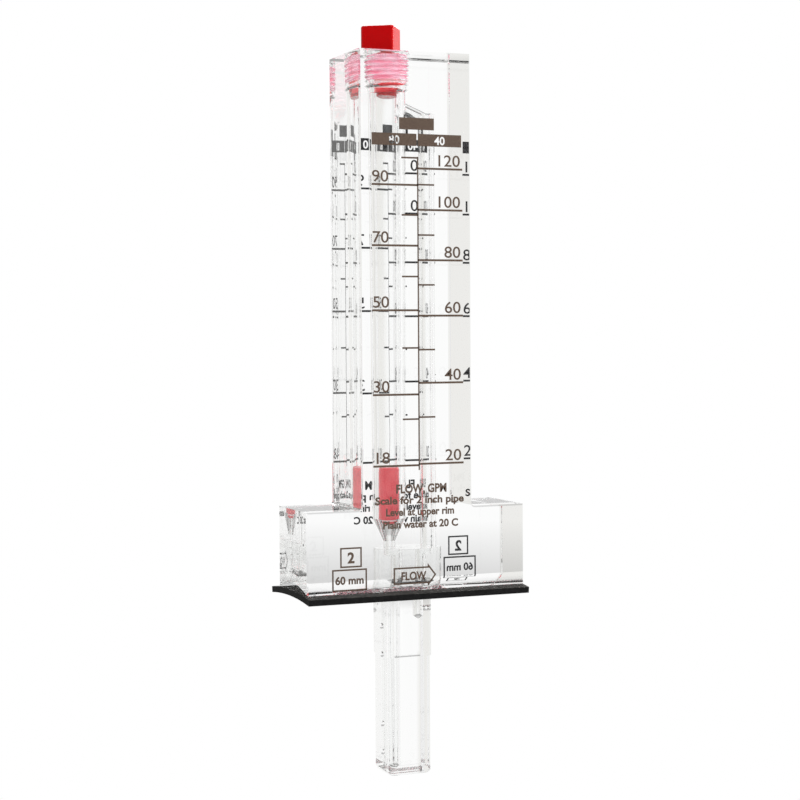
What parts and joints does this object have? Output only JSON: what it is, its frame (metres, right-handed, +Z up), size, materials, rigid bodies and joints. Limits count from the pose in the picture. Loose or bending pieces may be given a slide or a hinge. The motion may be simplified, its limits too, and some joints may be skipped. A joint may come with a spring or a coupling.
{
  "type": "pitot tube flow meter",
  "caption": "Clear block flow meter with a rising float, a screw plug on top, a pipe saddle with gasket, and a ported probe that reaches into the pipe.",
  "frame": {"origin": "crown of the concave pipe seat under the block, on the block's middle line", "axes": "+Z up, away from the pipe's axis; +X along the pipe in the direction of flow; -Y towards the front face"},
  "size_m": [0.0667, 0.0322, 0.212],
  "materials": {
    "clear_acrylic": "polished clear cast acrylic",
    "gasket_rubber": "dull black sheet rubber",
    "float_red": "smooth red",
    "sealing_tape": "thin white tape, soft",
    "plug_red": "moulded dark red plastic"
  },
  "bodies": {
    "meter": {"meter_body": "clear_acrylic", "pitot_probe": "clear_acrylic", "gasket": "gasket_rubber"},
    "float": {"flow_float": "float_red"},
    "tape": {"thread_tape": "sealing_tape"},
    "plug": {"plug": "plug_red"}
  },
  "joints": [
    {"name": "float_rise", "type": "slide", "parent": "meter", "child": "float", "axis": [0, 0, 1], "range_m": [0, 0.104]},
    {"name": "plug_rise", "type": "slide", "parent": "meter", "child": "tape", "axis": [0, 0, 1], "range_m": [0, 0.01199]},
    {"name": "plug_turn", "type": "hinge", "parent": "tape", "child": "plug", "pos_m": [-0.0055, 0, 0.14], "axis": [0, 0, 1], "range_deg": [0, 3060]}
  ],
  "couplings": [
    {"joint": "plug_turn", "follows": "plug_rise", "rad_per_m": 4452.9}
  ]
}
